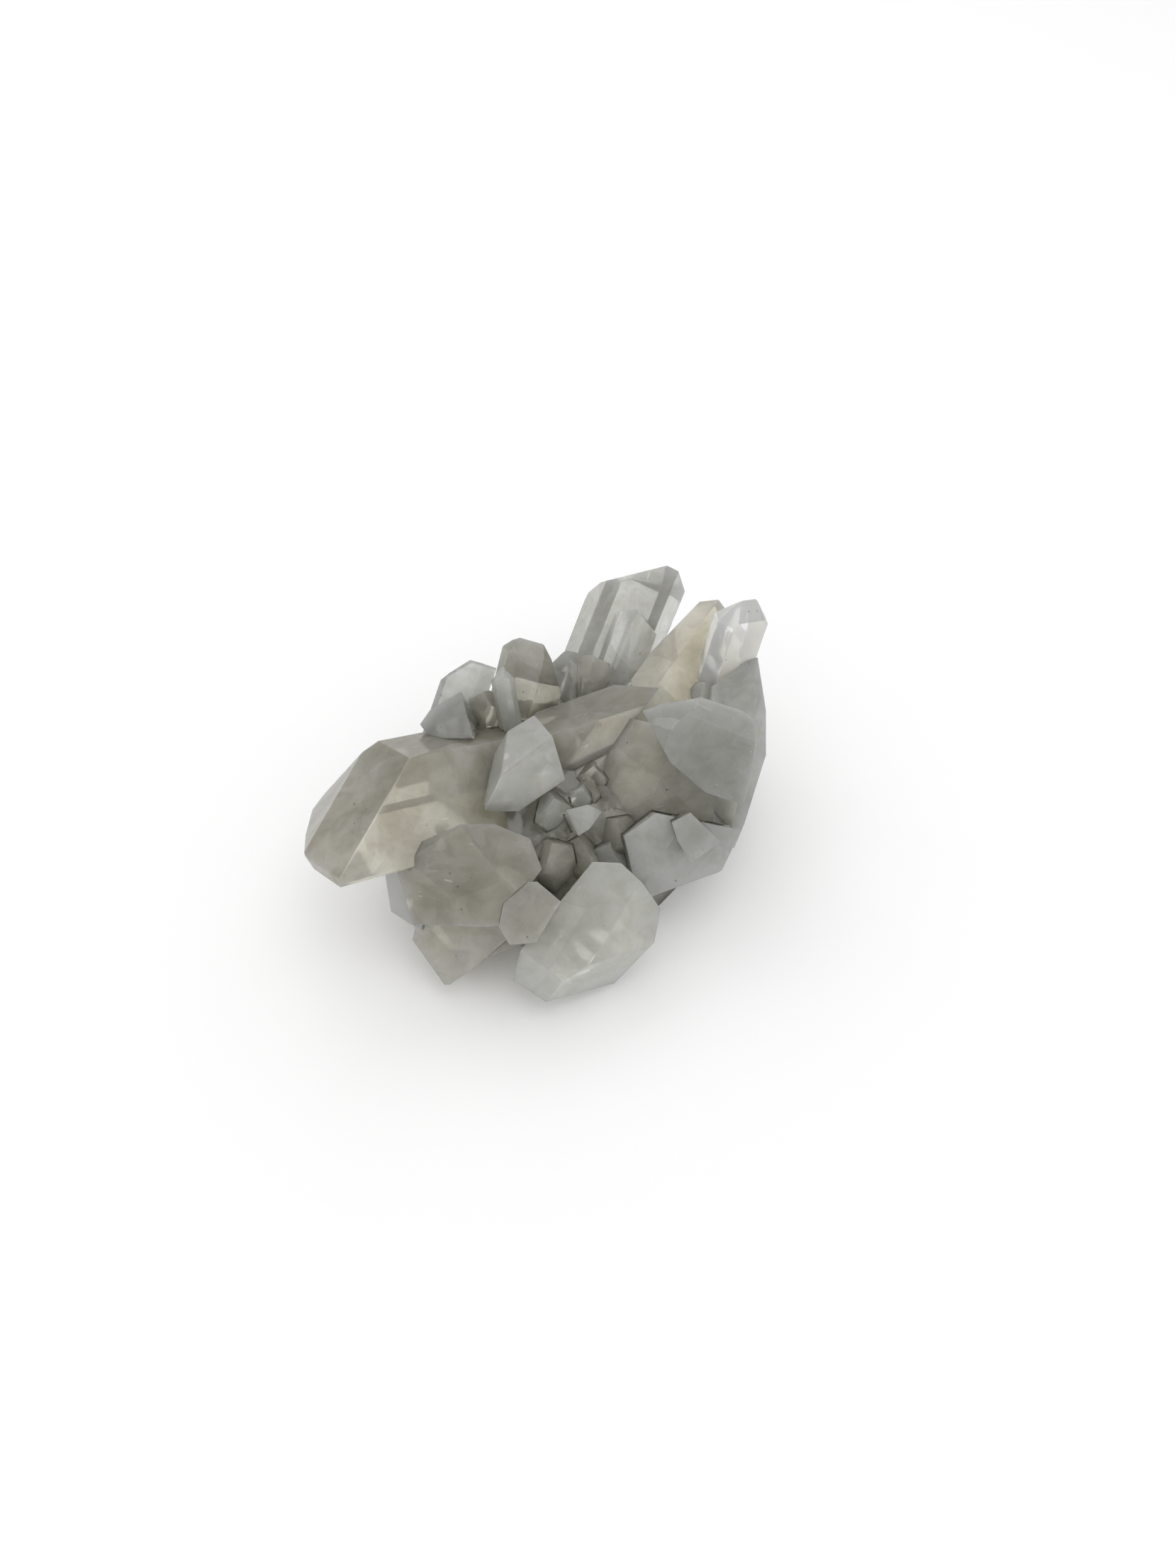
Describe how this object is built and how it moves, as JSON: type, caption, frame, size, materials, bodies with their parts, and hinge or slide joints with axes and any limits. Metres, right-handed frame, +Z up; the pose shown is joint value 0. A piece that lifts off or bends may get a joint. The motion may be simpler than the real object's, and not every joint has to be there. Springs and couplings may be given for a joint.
{
  "type": "quartz crystal cluster",
  "caption": "Cluster of smoky grey quartz crystals, long and stubby, growing in all directions from a lump of massive quartz with a flat foot to stand on.",
  "frame": {"origin": "middle of the cluster's bounding box, at the flat underside it rests on", "axes": "+Z up, +X towards the right of the cluster as seen from the side of the white front crystal, +Y towards its back"},
  "size_m": [0.1128, 0.1216, 0.0599],
  "materials": {
    "clear": "polished",
    "pale": "satin",
    "smoky": "satin",
    "brown": "satin",
    "grey": "satin"
  },
  "bodies": {
    "root": {"main_crystal": "smoky", "long_beam": "smoky", "clear_upright": "clear", "tall_back": "grey", "tall_back_companion": "grey", "upper_left_crystal": "brown", "upper_left_sprout": "pale", "far_left_crystal": "grey", "far_left_sprout": "grey", "rider_crystal": "clear", "ridge_crystal": "smoky", "white_front_crystal": "clear", "fan_crystal": "pale", "pale_right_crystal": "pale", "grey_right_crystal": "grey", "right_wall_crystal": "grey", "oval_crystal": "brown", "front_left_crystal": "smoky", "front_left_blade": "clear", "bottom_left_crystal": "smoky", "bottom_middle_crystal": "smoky", "tiny_bright_crystal": "clear", "hollow_sprout": "pale", "thin_sprout": "pale", "middle_sprout": "brown", "green_sprout": "smoky", "corner_sprout": "brown", "pink_sprout": "pale", "brown_sprout": "brown", "ribbed_sprout": "brown", "tall_back_sprout": "brown", "saddle_sprout": "grey", "left_sprout": "brown", "clear_foot_sprout": "clear", "brown_flat_crystal": "brown", "matrix": "brown"}
  },
  "joints": []
}
